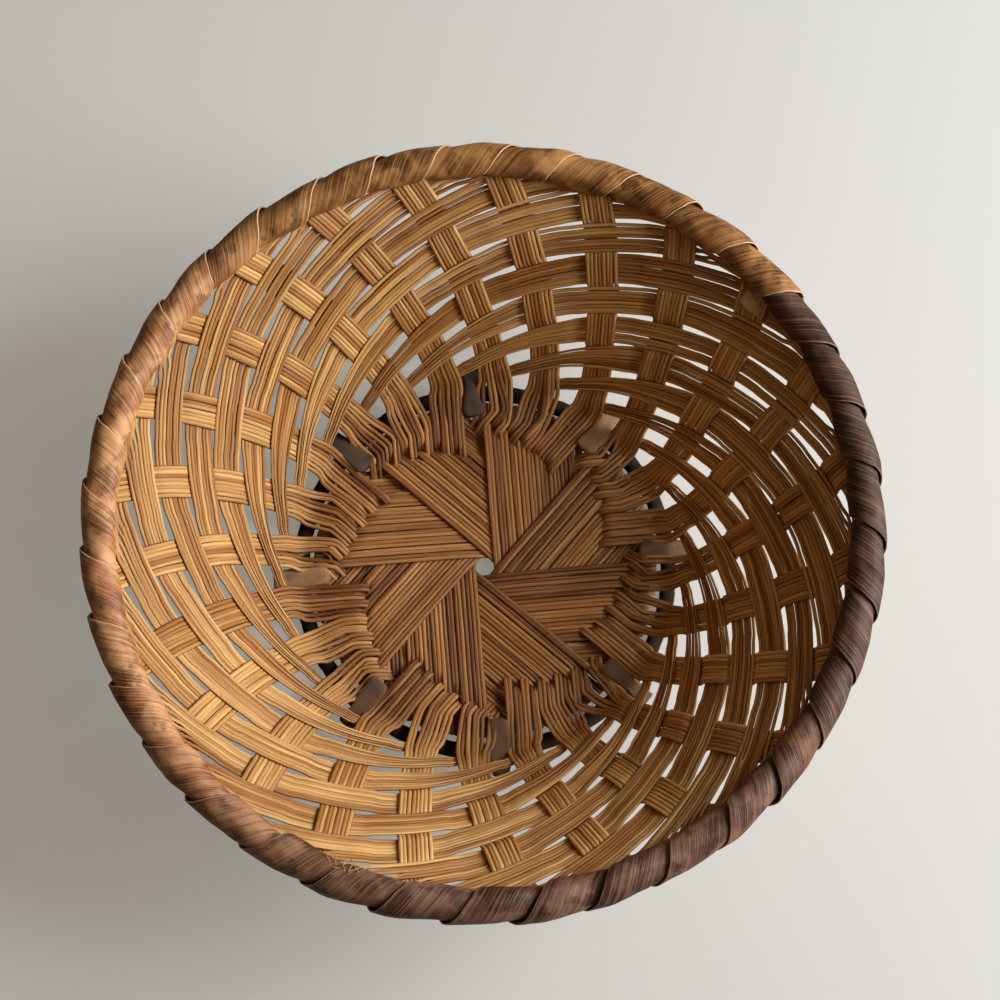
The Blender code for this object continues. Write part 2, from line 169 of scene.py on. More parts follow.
BUNDLES = GROUPS * GROUP_BUNDLES
GROUP_STEP = math.radians(360.0 / GROUPS)
BUNDLE_STEP = GROUP_STEP / GROUP_BUNDLES
FLOOR_PITCH = FLOOR_BUNDLE_WIDTH + FLOOR_BUNDLE_GAP
FLOOR_LOW = FLOOR_CLEARANCE + BUNDLE_THICKNESS / 2
FLOOR_STACK = GROUPS / 2 * (BUNDLE_THICKNESS + FLOOR_LAYER_GAP)
FOOT_OUTER, _, FOOT_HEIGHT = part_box("foot_ring")[1]
SEAT_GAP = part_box("peg_1")[0][2] - FOOT_HEIGHT
RING_HEIGHT = FOOT_HEIGHT + SEAT_GAP + BUNDLE_THICKNESS / 2 + RING_LIFT
RIM_LOW, RIM_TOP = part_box("rim_wrap_dark")
RIM_B = (RIM_TOP[2] - RIM_LOW[2]) / 2
RIM_A = RIM_B + RIM_EXTRA_WIDTH
RIM_CENTRE_HEIGHT = (RIM_TOP[2] + RIM_LOW[2]) / 2
WALL_TOP = Vector((RIM_RADIUS - (RIM_A + RIM_SEAT) * math.sqrt(0.5),
                   RIM_CENTRE_HEIGHT - (RIM_B + RIM_SEAT) * math.sqrt(0.5)))
EPS = 1e-4                       # rows, to find a weaver's direction
UP = Vector((0, 0, 1))


def smooth(x, low, high):
    """0 below low, 1 above high, eased between."""
    x = min(max((x - low) / (high - low), 0.0), 1.0)
    return x * x * (3 - 2 * x)


def mix(a, b, share):
    return a + (b - a) * share


def polar(radius, angle, height):
    return Vector((radius * math.cos(angle), radius * math.sin(angle), height))


def linspace(start, stop, count):
    return [mix(start, stop, i / (count - 1)) for i in range(count)]


def drift(*place):
    """Smooth noise from -1 to 1.  Bare numbers in a call only pick a place in it."""
    return noise.noise(Vector(place))


# The wall's middle surface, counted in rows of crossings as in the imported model

SLOPE = math.atan2((WALL_TOP.y - RING_HEIGHT) * WALL_FOOT_RISE,
                   (WALL_TOP.x - WALL_FOOT_RADIUS) * (1 - WALL_FLARE))
WALL_FOOT = Vector((WALL_FOOT_RADIUS, RING_HEIGHT + CORNER_RADIUS * (1 - math.cos(SLOPE))))
ARC_START = WALL_FOOT_RADIUS - CORNER_RADIUS * math.sin(SLOPE)
ROW_HEIGHT = (WALL_TOP - WALL_FOOT).length / ROWS


def rows_to_rim(angle):
    across = 0.5 - 0.5 * math.cos(angle - math.radians(ROWS_SIDE))
    return ROWS + RIM_TAIL - ROWS_LOST * across


def wall_profile(share):
    """Point (radius, height) and slope at a share of the way up the wall."""
    out = (1 - WALL_FLARE) * share + WALL_FLARE * share ** 2
    high = (1 + WALL_ROUNDING) * share - WALL_ROUNDING * share ** 2
    point = Vector((mix(WALL_FOOT.x, WALL_TOP.x, out), mix(WALL_FOOT.y, WALL_TOP.y, high)))
    climb = 1 + WALL_ROUNDING - 2 * WALL_ROUNDING * share
    opening = 1 - WALL_FLARE + 2 * WALL_FLARE * share
    return point, math.atan2(climb * (WALL_TOP.y - WALL_FOOT.y),
                             opening * (WALL_TOP.x - WALL_FOOT.x))


def ring_profile(back):
    """The same at a distance inward of the first row, round the corner."""
    slope = SLOPE - back / CORNER_RADIUS
    if slope > 0:
        return Vector((ARC_START + CORNER_RADIUS * math.sin(slope),
                       RING_HEIGHT + CORNER_RADIUS * (1 - math.cos(slope)))), slope
    return Vector((ARC_START - back + SLOPE * CORNER_RADIUS, RING_HEIGHT)), 0.0


def profile(row, angle=0.0):
    if row < 0:
        return ring_profile(-row * ROW_HEIGHT)
    return wall_profile(row / rows_to_rim(angle))


def row_at(radius):
    return -(SLOPE * CORNER_RADIUS + ARC_START - radius) / ROW_HEIGHT


def leaned(angle, row):
    turn = LEAN_PER_ROW + LEAN_SWAY * math.cos(angle - math.radians(SWAY_SIDE))
    return angle + math.radians(turn) * max(row, 0.0) ** LEAN_POWER


def surface(row, angle, lift):
    """Point at a row of the line that leaves the foot at an angle, moved inward
    by lift, and the inward normal there."""
    point, slope = profile(row, angle)
    here = leaned(angle, row)
    normal = Vector((-math.sin(slope) * math.cos(here),
                     -math.sin(slope) * math.sin(here), math.cos(slope)))
    return polar(point.x, here, point.y) + normal * lift, normal


def interlace(row):
    """+1 where stakes lie inside, -1 where weavers do, eased between.  A weaver
    first floats over two stakes, then goes under one and over one."""
    if row < LIFT_FLAT:
        return 1.0
    turn = row - min(max(row - 1.0, 0.0), 1.0)
    nearest = round(turn)
    side = 1.0 if nearest % 2 == 0 else -1.0
    return side * (1 - smooth(abs(turn - nearest), LIFT_FLAT - LIFT_SOFT,
                              1 + LIFT_SOFT - LIFT_FLAT))


def on_rim(angle, side, depth):
    """Point round the rim, at a side of its section and a depth under its surface."""
    return polar(RIM_RADIUS + (RIM_A - depth) * math.cos(side), angle,
                 RIM_CENTRE_HEIGHT + (RIM_B - depth) * math.sin(side))


def group_direction(group):
    return math.radians(FIRST_GROUP_ANGLE) + GROUP_STEP * group


def stake_foot(index):
    """Plan angle at which a stake leaves the foot."""
    group, place = divmod(index, GROUP_BUNDLES)
    return group_direction(group) + math.pi + BUNDLE_STEP * (place + 0.5)


def floor_offset(index, share=0.0):
    """Distance of a floor run, or of a rod in it, from the eye."""
    return FLOOR_HOLE_RADIUS + FLOOR_PITCH * (index % GROUP_BUNDLES + 0.5 + share)


def stack_height(offset, along):
    return FLOOR_LOW + FLOOR_STACK * (1 - math.atan2(offset, along) / math.pi)


# Routes of the rods: each yields (point, normal, thickness)

def stake_route(index, share, tag, layer):
    """One rod of a stake: over the floor, round the corner and up to the rim."""
    group = index // GROUP_BUNDLES
    ahead = polar(1.0, group_direction(group), 0.0)
    aside = Vector((ahead.y, -ahead.x, 0.0))
    pair_of = layer // 2
    offset = floor_offset(index, share) + ROD_PAIRING * (-1) ** layer
    place = (offset - FLOOR_HOLE_RADIUS) / (GROUP_BUNDLES * FLOOR_PITCH)
    stagger = PAIR_STAGGER * ((-1) ** pair_of * 0.5 + drift(index * 2.3, pair_of * 1.9, 5.0))
    dive = mix(*DIVE_RADII, min(place * DIVE_SHARE, 1.0)) + stagger
    crest = mix(*CLIMB_RADII, place) - stagger
    bend = BEND_RADIUS + BEND_STRAY * drift(index * 3.7, pair_of * 2.9, 0.5)
    corner = max(FLOOR_END_RADIUS, offset + FLOOR_END_MARGIN)
    start = math.sqrt(DIVE_REACH ** 2 - offset ** 2)
    finish = -math.sqrt(corner ** 2 - offset ** 2)
    for along in linspace(start, finish, int((start - finish) / FLOOR_STEP) + 2):
        height, radius = stack_height(offset, along), math.hypot(offset, along)
        if along > 0:
            height = mix(height, DIVE_HEIGHT, smooth(radius, dive, dive + DIVE_LENGTH))
        else:
            height = mix(height, RING_HEIGHT, smooth(radius, crest - CLIMB_LENGTH, crest))
        strayed = offset + FLOOR_WOBBLE_SHARE * ROD_WOBBLE * drift(along * 30, *tag)
        height += FLOOR_LIFT_WOBBLE * drift(along * 60, tag[1], tag[0])
        yield ahead * along + aside * strayed + UP * height, UP, FLOOR_ROD

    foot = stake_foot(index)
    outward = group_direction(group) + math.pi
    end = rows_to_rim(foot)
    first = row_at(corner + RING_STEP)
    for row in (linspace(first, 0.0, int(-first * ROW_HEIGHT / RING_STEP))
                + linspace(0.0, end + TUCK_HEIGHT, int(end * ROW_STEPS))[1:]):
        radius = profile(row, foot)[0].x
        width = mix(STAKE_WIDTH, STAKE_TOP_WIDTH, max(row, 0.0) / end)
        width *= 1 + BEND_SPREAD * (1 - smooth(row, *BEND_ROWS))
        pair = (1 - smooth(row, *PAIR_ROWS)) * smooth(
            radius, bend - BEND_EASE, bend + BEND_EASE)
        wobble = (BUNDLE_WOBBLE * drift(row * 0.25, index * 4.7, 1.3)
                  + ROD_WOBBLE * drift(row * 0.4, *tag)) * smooth(row, 0.0, 1.0)
        wobble += pair * PAIR_SHIFT * drift(index * 5.9, pair_of * 3.7, 4.4)
        steps = (share * width + wobble) / (radius * BUNDLE_STEP)
        straight = outward + math.asin(offset / min(radius, bend))
        gathered = min(max((radius - bend) / (WALL_FOOT_RADIUS - bend), 0.0), 1.0)
        angle = mix(straight, foot + steps * BUNDLE_STEP, gathered)
        skew = steps * smooth(row, *SKEW_ROWS)
        lift = STAKE_LIFT * interlace(row + steps - skew)
        lift += ROD_LIFT_WOBBLE * drift(row * 0.7, tag[1], tag[0])
        lift += pair * PAIR_RISE * drift(index * 2.9, pair_of * 4.1, 9.4)
        spot, normal = surface(row - skew, angle, lift)
        if radius < crest:
            low = stack_height(offset, -math.sqrt(max(radius ** 2 - offset ** 2, 0)))
            spot.z = mix(low, RING_HEIGHT, smooth(radius, crest - CLIMB_LENGTH, crest))
        yield spot, normal, mix(FLOOR_ROD, width / RODS * ROD_OVERLAP,
                                smooth(row, *STAKE_WIDTH_ROWS))


def weaver_centre(index, row):
    """Middle of a weaver near the corner, where it swings away from its stake."""
    radius = profile(row)[0].x
    away = row
    start, stop = WEAVER_TURN
    if row < stop:
        share = max(row - start, 0.0) / (stop - start)
        away = (stop * (3 * share ** 2 - 2 * share ** 3)
                + (stop - start) * (share ** 3 - share ** 2))
    outward = group_direction(index // GROUP_BUNDLES) + math.pi
    straight = outward + math.asin(min(floor_offset(index) / radius, 1.0))
    angle = mix(straight, stake_foot(index), smooth(radius, BEND_RADIUS, WALL_FOOT_RADIUS))
    return surface(row, angle - BUNDLE_STEP * away, -WEAVER_LIFT * interlace(row))


def weaver_route(index, share, tag, layer):
    """One rod of a weaver: from under its stake, clockwise up to the rim."""
    foot = stake_foot(index)
    first = row_at(WEAVER_INNER_RADIUS + WEAVER_INNER_STRAY * abs(drift(*tag, 0.7)) * 2)
    rows = linspace(first, WEAVER_ON_WALL, WEAVER_START_STEPS) + [
        WEAVER_ON_WALL + i / ROW_STEPS for i in range(1, (ROWS + 1) * ROW_STEPS)]
    tucked = 0.0
    for row in rows:
        angle = foot - row * BUNDLE_STEP
        fill = mix(WEAVER_FOOT_FILL, WEAVER_FILL, smooth(row, *WEAVER_SPREAD))
        spread = 1 + WEAVER_SWELL * drift(row * 0.4, index * 3.1, 7.7)
        pitch = spread * fill * ROW_HEIGHT * ROWS / rows_to_rim(angle) / RODS
        wobble = (WEAVER_WOBBLE_SHARE * BUNDLE_WOBBLE * drift(row * 0.3, index * 5.3, 2.1)
                  + ROD_WOBBLE * drift(row * 0.4, *tag)) / USUAL_WEAVER_WIDTH
        crowd = WEAVER_CROWD * (-1) ** layer * (1 - smooth(row, *CROWD_ROWS))
        lift = -WEAVER_LIFT * interlace(row) + crowd
        lift += ROD_LIFT_WOBBLE * drift(row * 0.6, tag[1], tag[0])
        if row < WEAVER_ON_WALL:
            near, normal = weaver_centre(index, row)
            along = weaver_centre(index, row + EPS)[0] - weaver_centre(index, row - EPS)[0]
            width = mix(WEAVER_START_WIDTH, WEAVER_FOOT_WIDTH, smooth(row, *WEAVER_TURN))
            spot = near + normal.cross(along).normalized() * share * width + normal * crowd
        if row > 0:
            height = row + fill * (share * spread + wobble)
            limit = rows_to_rim(angle)
            if height > limit:
                tucked += 1 / (TUCK_ROWS * ROW_STEPS)
                height = limit + TUCK_HEIGHT * tucked
                if tucked > 1.0:
                    return
            on_wall, normal = surface(height, angle, lift * (1 if tucked == 0 else 0.5))
            spot = (on_wall if row >= WEAVER_ON_WALL
                    else spot.lerp(on_wall, smooth(row, 0.0, WEAVER_ON_WALL)))
        yield spot, normal, max(pitch * ROD_OVERLAP, TIP_ROD)


# Mesh building

def new_mesh(*layer_names):
    mesh = bmesh.new()
    return mesh, {name: mesh.verts.layers.float.new(name) for name in layer_names}


def mesh_data(name, mesh):
    data = bpy.data.meshes.new(name)
    mesh.to_mesh(data)
    mesh.free()
    return data


def extrude(mesh, edges):
    """Extrudes edges in place and returns the new vertices and edges."""
    made = bmesh.ops.extrude_edge_only(mesh, edges=edges)["geom"]
    return ([item for item in made if isinstance(item, bmesh.types.BMVert)],
            [item for item in made if isinstance(item, bmesh.types.BMEdge)])


def cross_row(mesh, count, column_of):
    """A row of joined vertices across a strip, each with its column's number."""
    verts = [mesh.verts.new() for _ in range(count)]
    for i, vert in enumerate(verts):
        vert[column_of] = i
    return verts, [mesh.edges.new(pair) for pair in zip(verts, verts[1:])]


def rod(bundle, route, tone, side_index):
    """Extrudes one round rod along its route and adds it to its bundle."""
    mesh, layers = new_mesh("tone", "along", "side")
    level = Matrix.Rotation(math.pi / ROD_SIDES, 4, "Z")
    stations = list(route)
    own = 1 + THICKNESS_SHARE * ROD_UNEVENNESS * drift(tone * 40, side_index * 7.7, 3.3)
    ring, placed, run = None, None, 0.0
    for i, (spot, normal, thickness) in enumerate(stations):
        ahead = stations[min(i + 1, len(stations) - 1)][0] - stations[max(i - 1, 0)][0]
        ahead.normalize()
        across = normal.cross(ahead).normalized()
        size = thickness / 2 * (own + ROD_SWELL * drift(run * 40, tone * 40, side_index))
        place = Matrix.Translation(spot) @ Matrix((
            across * size, ahead.cross(across) * size * ROD_FLATNESS,
            ahead * size)).transposed().to_4x4() @ level
        if ring is None:
            made = bmesh.ops.create_circle(mesh, segments=ROD_SIDES, radius=1.0, cap_ends=True,
                                           matrix=place)
            ring = made["verts"]
            edges = list({edge for vert in ring for edge in vert.link_edges})
        else:
            ring, edges = extrude(mesh, edges)
            bmesh.ops.transform(mesh, matrix=place @ placed.inverted(), verts=ring)
            run += (spot - stations[i - 1][0]).length
        for vert in ring:
            vert[layers["tone"]] = tone
            vert[layers["along"]] = run
            # across the rod, -1 to 1 at its sides; the rod material paints shade near the
            # sides
            vert[layers["side"]] = (vert.co - spot).dot(across) / size
        placed = place
    bmesh.ops.contextual_create(mesh, geom=edges)
    single = mesh_data("rod", mesh)
    bundle.from_mesh(single)
    bpy.data.meshes.remove(single)


def add_object(name, data):
    made = bpy.data.objects.new(name, data)
    bpy.context.scene.collection.objects.link(made)
    return made


def piece(name, mesh, material, slot, *nodes):
    """Turns a bmesh into a piece of the basket that stands for its nodes."""
    bmesh.ops.recalc_face_normals(mesh, faces=mesh.faces)
    data = mesh_data(name, mesh)
    data.materials.append(material)
    data.shade_smooth()
    made = add_object(name, data)
    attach(made, "root")
    if nodes:
        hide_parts(*nodes)
    return made


# Materials

def srgb(red, green, blue):
    """Linear colour from the values that a screen shows."""
    def linear(value):
        value /= 255
        return value / 12.92 if value < 0.04045 else ((value + 0.055) / 1.055) ** 2.4
    return linear(red), linear(green), linear(blue), 1.0


class Value:
    """A number in a material, for use in plain arithmetic."""

    def __init__(self, shader, socket):
        self.shader, self.socket = shader, socket

    def math(self, operation, *others):
        inputs = {i: other for i, other in enumerate((self, *others))}
        return self.shader.make("ShaderNodeMath", {"operation": operation}, inputs)

    def __add__(self, other): return self.math("ADD", other)
    def __mul__(self, other): return self.math("MULTIPLY", other)
    def __sub__(self, other): return self.math("SUBTRACT", other)
    def __rsub__(self, other): return self * -1 + other
    __radd__, __rmul__ = __add__, __mul__

    def ease(self, low, high):
        """0 below low, 1 above high, eased between."""
        return self.shader.make("ShaderNodeMapRange", {"interpolation_type": "SMOOTHSTEP"},
                                {"Value": self, "From Min": low, "From Max": high})


class Shader:
    """One material, and the one way in which its nodes are made."""

    def __init__(self, name, roughness):
        self.material = bpy.data.materials.new(name)
        self.material.use_nodes = True
        self.nodes = self.material.node_tree.nodes
        self.links = self.material.node_tree.links
        self.surface = self.nodes["Principled BSDF"]
        self.surface.inputs["Roughness"].default_value = roughness

    def plug(self, socket, value):
        if isinstance(value, Value):
            self.links.new(value.socket, socket)
        else:
            socket.default_value = value

    def make(self, kind, settings=None, inputs=None, output=0):
        node = self.nodes.new(kind)
        for key, value in (settings or {}).items():
            setattr(node, key, value)
        for key, value in (inputs or {}).items():
            self.plug(node.inputs[key], value)
        return Value(self, node.outputs[output])

    def attribute(self, name):
        return self.make("ShaderNodeAttribute", {"attribute_name": name}, output="Fac")

    def vector(self, x, y, z=0.0):
        return self.make("ShaderNodeCombineXYZ", inputs={0: x, 1: y, 2: z})

    def place(self):
        return self.make("ShaderNodeTexCoord", output="Object")

    def noise(self, vector, scale, detail=3.0, roughness=0.55):
        return self.make("ShaderNodeTexNoise", inputs={
            "Vector": vector, "Scale": scale, "Detail": detail, "Roughness": roughness})

    def grain(self, layers, stretch, detail, roughness=0.55):
        """Noise along a piece, whose layers are stretched by these factors."""
        return self.noise(self.vector(*(layer * factor for layer, factor in
                                        zip(layers, stretch))), 1.0, detail, roughness)

    def blend(self, factor, first, second):
        return self.make("ShaderNodeMix", {"data_type": "RGBA"},
                         {"Factor": factor, 6: first, 7: second}, output=2)

    def stain(self, colour, *stains):
        """Lays stains over a colour one after another, each (factor, colour)."""
        for factor, tint in stains:
            colour = self.blend(factor, colour, tint)
        return colour

    def bump(self, height, distance, strength=1.0):
        return self.make("ShaderNodeBump", inputs={
            "Height": height, "Distance": distance, "Strength": strength})

    def finish(self, **sockets):
        for key, value in sockets.items():
            self.plug(self.surface.inputs[key.replace("_", " ")], value)
        return self.material


def radius_of(shader, place):
    """Distance from the basket's axis."""
    flat = shader.make("ShaderNodeVectorMath", {"operation": "MULTIPLY"},
                       {0: place, 1: (1.0, 1.0, 0.0)})
    return shader.make("ShaderNodeVectorMath", {"operation": "LENGTH"}, {0: flat}, "Value")


STRAW_RADII = (0.072, 0.100)     # the rods turn from reddish to straw between these
# changes per metre along a piece, per metre across it or per side, and per tone
ROD_STREAKS, ROD_FIBRES = (22, 0.9, 90), (50, 4.5, 300)
BARK_FIBRES, BARK_VEINS = (22, 2300, 1.5), (12, 700, 2.0)
WOOD_GRAIN = (60, 1400, 50)
# colour of the real cut edges, also laid on the bark's tail as painted light
PALE_CUT_AND_PAINTED_LIGHT = srgb(236, 204, 164)
WORN_BARK = srgb(160, 108, 68)


def rod_material():
    """Dry peeled rods: straw on the wall, redder on the floor, with long fibres and
    painted shade on each rod's sides, where they lie side by side."""
    shader = Shader("peeled rods", 0.5)
    along, side, tone = (shader.attribute(key) for key in ("along", "side", "tone"))
    place = shader.place()
    radius = radius_of(shader, place)
    streak = shader.grain((along, side, tone), ROD_STREAKS, 4.0)
    fibre = shader.grain((along, side, tone), ROD_FIBRES, 2.0)
    patch = shader.noise(place, 26.0, 3.0)
    # painted shade: darkens each rod towards its sides, where it lies against its neighbours
    painted_seam_shade = side.math("ABSOLUTE").ease(0.72, 0.97)
    straw = shader.blend(tone, srgb(168, 108, 50), srgb(236, 187, 116))
    reddish = shader.blend(tone, srgb(108, 60, 32), srgb(206, 148, 88))
    colour = shader.stain(reddish,
                          (radius.ease(*STRAW_RADII), straw),
                          (streak.ease(0.45, 0.72) * 0.6, srgb(122, 70, 32)),
                          (patch.ease(0.40, 0.75) * 0.3, srgb(150, 96, 48)),
                          (fibre.ease(0.52, 0.70) * 0.35, srgb(238, 204, 150)),
                          ((1 - fibre.ease(0.34, 0.46)) * 0.35, srgb(104, 60, 28)),
                          # painted shade along each rod's sides
                          (painted_seam_shade * 0.85, srgb(70, 34, 14)))
    return shader.finish(Base_Color=colour, Roughness=fibre * 0.2 + 0.46,
                         Specular_IOR_Level=0.32, Normal=shader.bump(fibre, 0.00015, 0.6))


def bark_material(name, pale, middle, dark, gloss, warm=None):
    """Wide bark strip: blotched, with fibres that run along it and a pale cut edge,
    which the attribute "edge" also lays on the folded tail as painted light.
    The warm colours take the others' place where the attribute "warm" says so, and
    the attribute "aged" darkens them."""
    shader = Shader(name, 0.5)
    along, across, tone, edge, aged = (
        shader.attribute(key) for key in ("along", "across", "tone", "edge", "aged"))
    place = shader.place()
    fibre = shader.grain((along, across, tone), BARK_FIBRES, 2.0, 0.5)
    vein = shader.grain((along, across, tone), BARK_VEINS, 2.0)
    cloud = shader.noise(place, 75.0, 3.0, 0.50)
    blotch = shader.noise(place, 95.0, 3.0, 0.55)
    if warm:
        side = shader.attribute("warm")
        pale, middle, dark = (shader.blend(side, cold, hot) for cold, hot in
                              zip((pale, middle, dark), warm))
    colour = shader.stain(middle,
                          (cloud.ease(0.38, 0.60), pale),
                          (tone.ease(0.0, 1.0) * 0.5, middle),
                          (blotch.ease(0.52, 0.62) * 0.65, dark),
                          (vein.ease(0.46, 0.60) * 0.45, dark),
                          (aged * 0.80, dark),
                          (fibre.ease(0.50, 0.60) * (0.5 - aged * 0.1), pale))
    if warm:
        worn = shader.noise(place, 26.0, 4.0, 0.6)
        colour = shader.blend(worn.ease(0.60, 0.68) * 0.4, colour, WORN_BARK)
    # pale cut edges, and painted light on the tail, whose "edge" is set high all over
    colour = shader.blend(edge.ease(0.35, 0.75) * (0.9 - aged * 0.45), colour, PALE_CUT_AND_PAINTED_LIGHT)
    height = fibre * 0.35 + vein * 0.5 + blotch * 0.35
    return shader.finish(Base_Color=colour, Roughness=fibre * 0.25 + aged * 0.15 + gloss,
                         Specular_IOR_Level=0.3, Normal=shader.bump(height, 0.0008, 0.7))


def plain_wood(name, pale, dark, roughness, aged=None):
    """Wood with a grain that follows the piece's own length, and a colour for where
    the attribute "aged" is set."""
    shader = Shader(name, roughness)
    along, across, tone = (shader.attribute(key) for key in ("along", "across", "tone"))
    grain = shader.grain((along, across, tone), WOOD_GRAIN, 4.0, 0.6)
    patch = shader.noise(shader.place(), 90.0, 3.0)
    colour = shader.stain(dark,
                          (tone.ease(0.0, 1.0), pale),
                          (grain.ease(0.45, 0.75) * 0.6, dark),
                          (patch.ease(0.45, 0.7) * 0.3, pale))
    if aged:
        colour = shader.blend(shader.attribute("aged") * 0.8, colour, aged)
    return shader.finish(Base_Color=colour, Normal=shader.bump(grain, 0.0004, 0.6))


# Pieces

def add_rods():
    rods = rod_material()
    add_frayed_fibres(rods)
    pick = random.Random(SEED)
    for kind, slot, route in (("stake", "rods_shaded", stake_route),
                              ("weaver", "rods_lit", weaver_route)):
        for index in range(BUNDLES):
            mesh, _ = new_mesh("tone", "along", "side")
            bundle_tone = pick.uniform(*BUNDLE_TONES)
            for i in range(RODS):
                stray = ROD_UNEVENNESS * drift(index * 1.7, i * 2.3, 6.6)
                share = (i + 0.5 + stray) / RODS - 0.5
                # the rod's own place in the noise
                tag = (index * 2.3 + (50 if kind == "weaver" else 0), i * 6.1)
                tone = min(max(bundle_tone + pick.gauss(0, ROD_TONE_SPREAD), 0.0), 1.0)
                rod(mesh, route(index, share, tag, i), tone, i)
            piece(f"{kind}_rods_{index + 1:02d}", mesh, rods, slot, f"{kind}_{index + 1:02d}")


BARK_LAYERS = ("tone", "along", "across", "edge", "warm", "aged")
WRAP_STEP = math.tau / WRAP_TURNS
BARK_THICKNESS = 0.0006
BARK_STATIONS = 36               # round the rim's section
BARK_SHARES = (0.0, 0.02, 0.06, 0.13, 0.21, 0.30, 0.39,
               0.48, 0.57, 0.66, 0.75, 0.84, 0.92, 1.0)
BARK_LAP = 0.16                  # how much wider than a turn the strip is
BARK_INSET = 0.0028              # depth of its lower edge, under the next turn
BARK_RAISED = 0.0017             # how much higher its upper edge lies
BARK_BELLY = 0.0007
BARK_DENTS = (0.0010, 0.0003)    # wide and fine
UPPER_EDGE_STRAY = (0.09, 0.020)
LOWER_EDGE_STRAY = (0.05, 0.018)
TURN_TONES = (0.1, 0.9)
WARM_TURNS = (9, 10)             # turns over which the bark gets redder
COOL_TURNS = (LIGHT_BARK_TURNS + 3, LIGHT_BARK_TURNS + 9)
AGED_TURNS = (LIGHT_BARK_TURNS + 13, LIGHT_BARK_TURNS + 18)


def on_strip(count, share):
    """Point of the bark strip after a number of turns, at a share of its width."""
    ragged = (UPPER_EDGE_STRAY[0] * drift(count * 1.7, 3.1, 9.0)
              + UPPER_EDGE_STRAY[1] * drift(count * 11, 5.0, 1.0))
    slack = (LOWER_EDGE_STRAY[0] * drift(count * 1.9, 8.1, 2.0)
             + LOWER_EDGE_STRAY[1] * drift(count * 9, 7.0, 4.0))
    start = -ragged if count > 0 else 0.0
    theta = math.radians(LIGHT_BARK_START) + WRAP_STEP * (
        count + mix(start, 1 + BARK_LAP + slack, share))
    lift = (BARK_RAISED * (1 - share) ** 1.4
            + BARK_BELLY * math.sin(math.pi * min(share * 1.15, 1.0)))
    lift += (BARK_DENTS[0] * drift(count * 3, share * 2, 4.4)
             + BARK_DENTS[1] * drift(count * 14, share * 6, 1.4))
    return on_rim(theta, math.tau * count, BARK_INSET - lift)


def wind_bark(mesh, layers, column_of, first, last, turn_tones):
    """Winds the strip from one turn to another, with its layers for the material."""
    verts, edges = cross_row(mesh, len(BARK_SHARES), column_of)
    for station in range(first * BARK_STATIONS, last * BARK_STATIONS + 1):
        if station > first * BARK_STATIONS:
            verts, edges = extrude(mesh, edges)
        count = station / BARK_STATIONS
        whole = int(count)
        for vert in verts:
            share = BARK_SHARES[vert[column_of]]
            vert.co = on_strip(count, share)
            vert[layers["tone"]] = mix(turn_tones[whole], turn_tones[whole + 1], count % 1)
            vert[layers["along"]] = count * math.tau * RIM_B
            vert[layers["across"]] = share * WRAP_STEP * RIM_RADIUS
            vert[layers["edge"]] = 1.0 if share == 0.0 else 0.0
            vert[layers["warm"]] = smooth(count, *WARM_TURNS) - smooth(count, *COOL_TURNS)
            vert[layers["aged"]] = smooth(count, *AGED_TURNS)


def add_rim():
    """The bark strip, wound so that each turn's clockwise edge lies on top."""
    golden = (srgb(204, 150, 92), srgb(122, 75, 36), srgb(60, 32, 13))
    brown = (srgb(154, 115, 94), srgb(80, 49, 36), srgb(40, 18, 10))
    warm = (srgb(246, 188, 130), srgb(176, 112, 72), srgb(92, 52, 38))
    cut = plain_wood("cut bark edge", srgb(220, 184, 142), srgb(178, 136, 96), 0.7,
                     srgb(78, 52, 38))
    pick = random.Random(SEED + 1)
    turn_tones = [pick.uniform(*TURN_TONES) for _ in range(WRAP_TURNS + 2)]
    for name, slot, first, last, colours, gloss in (
            ("rim_bark_light", "light_bark", 0, LIGHT_BARK_TURNS, golden, 0.30),
            ("rim_bark_dark", "dark_bark", LIGHT_BARK_TURNS, WRAP_TURNS, brown, 0.32)):
        mesh, layers = new_mesh(*BARK_LAYERS)
        column_of = mesh.verts.layers.int.new("column")
        wind_bark(mesh, layers, column_of, first, last, turn_tones)
        bark = bark_material(name.replace("_", " "), *colours, gloss, warm)
        if name == "rim_bark_light":
            add_bark_tail(mesh, layers, column_of)
        strip = piece(name, mesh, bark, slot, name.replace("bark", "wrap"))
        strip.data.materials.append(cut)
        wall = strip.modifiers.new("bark thickness", "SOLIDIFY")
        wall.thickness = BARK_THICKNESS
        wall.offset = -1.0
        wall.material_offset_rim = 1


TAIL_COLUMNS = 4
TAIL_STEP = 0.0032
TAIL_CURL = 0.0020
TAIL_TILT = (0.8, 0.4)           # outward and upward across its width
# radius, degrees, height and width at each step
TAIL_PATH = ((0.1472, 41.6, 0.0950, 0.0085), (0.1468, 40.4, 0.0942, 0.0080),
             (0.1466, 39.2, 0.0934, 0.0066), (0.1466, 38.0, 0.0927, 0.0044),
             (0.1468, 36.9, 0.0922, 0.0012))


def add_bark_tail(mesh, layers, column_of):
    """The light strip's folded end, which hangs out under the rim's inner edge."""
    verts, edges = cross_row(mesh, TAIL_COLUMNS, column_of)
    for step, (radius, degrees, height, width) in enumerate(TAIL_PATH):
        if step:
            verts, edges = extrude(mesh, edges)
        for vert in verts:
            side = vert[column_of] / (TAIL_COLUMNS - 1) - 0.5
            vert.co = polar(radius + side * width * TAIL_TILT[0], math.radians(degrees),
                            height + side * width * TAIL_TILT[1] + TAIL_CURL * side ** 2)
            vert[layers["tone"]], vert[layers["along"]] = 0.1, TAIL_STEP * step
            # edge set high all over the tail: painted light, pale as if the light fell on it
            vert[layers["across"]], vert[layers["edge"]] = side * width, 0.9


